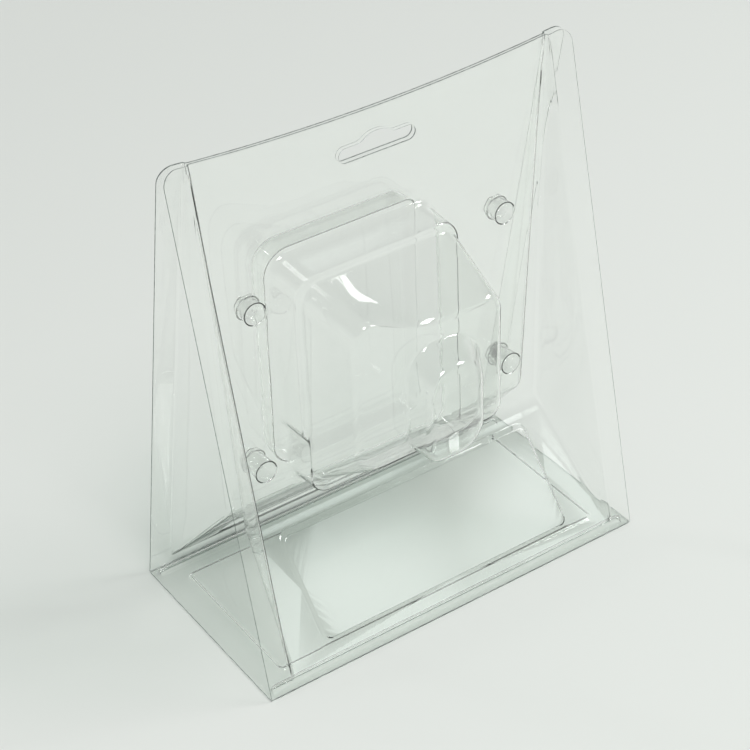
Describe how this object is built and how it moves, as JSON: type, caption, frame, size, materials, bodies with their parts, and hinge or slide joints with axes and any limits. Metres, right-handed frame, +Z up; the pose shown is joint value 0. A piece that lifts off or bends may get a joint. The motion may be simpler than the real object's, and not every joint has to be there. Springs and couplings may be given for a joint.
{
  "type": "clear plastic clamshell pack",
  "caption": "Self-standing clear clamshell pack folded from one formed sheet, with a stepped blister, snap cups and a hang slot.",
  "frame": {"origin": "middle of the underside of the base panel, on the table", "axes": "+Z up, -Y towards the front with the deep blister, +X to the right seen from the front"},
  "size_m": [0.165, 0.1008, 0.1974],
  "materials": {
    "clear_sheet": "clear gloss"
  },
  "bodies": {
    "base": {"base_panel": "clear_sheet"},
    "front": {"front_shell": "clear_sheet"},
    "back": {"back_shell": "clear_sheet"}
  },
  "joints": [
    {"name": "front_hinge", "type": "hinge", "parent": "base", "child": "front", "pos_m": [0, -0.04375, 0.00025], "axis": [1, 0, 0], "range_deg": [0, 80]},
    {"name": "back_hinge", "type": "hinge", "parent": "base", "child": "back", "pos_m": [0, 0.04375, 0.00025], "axis": [-1, 0, 0], "range_deg": [0, 100]}
  ]
}
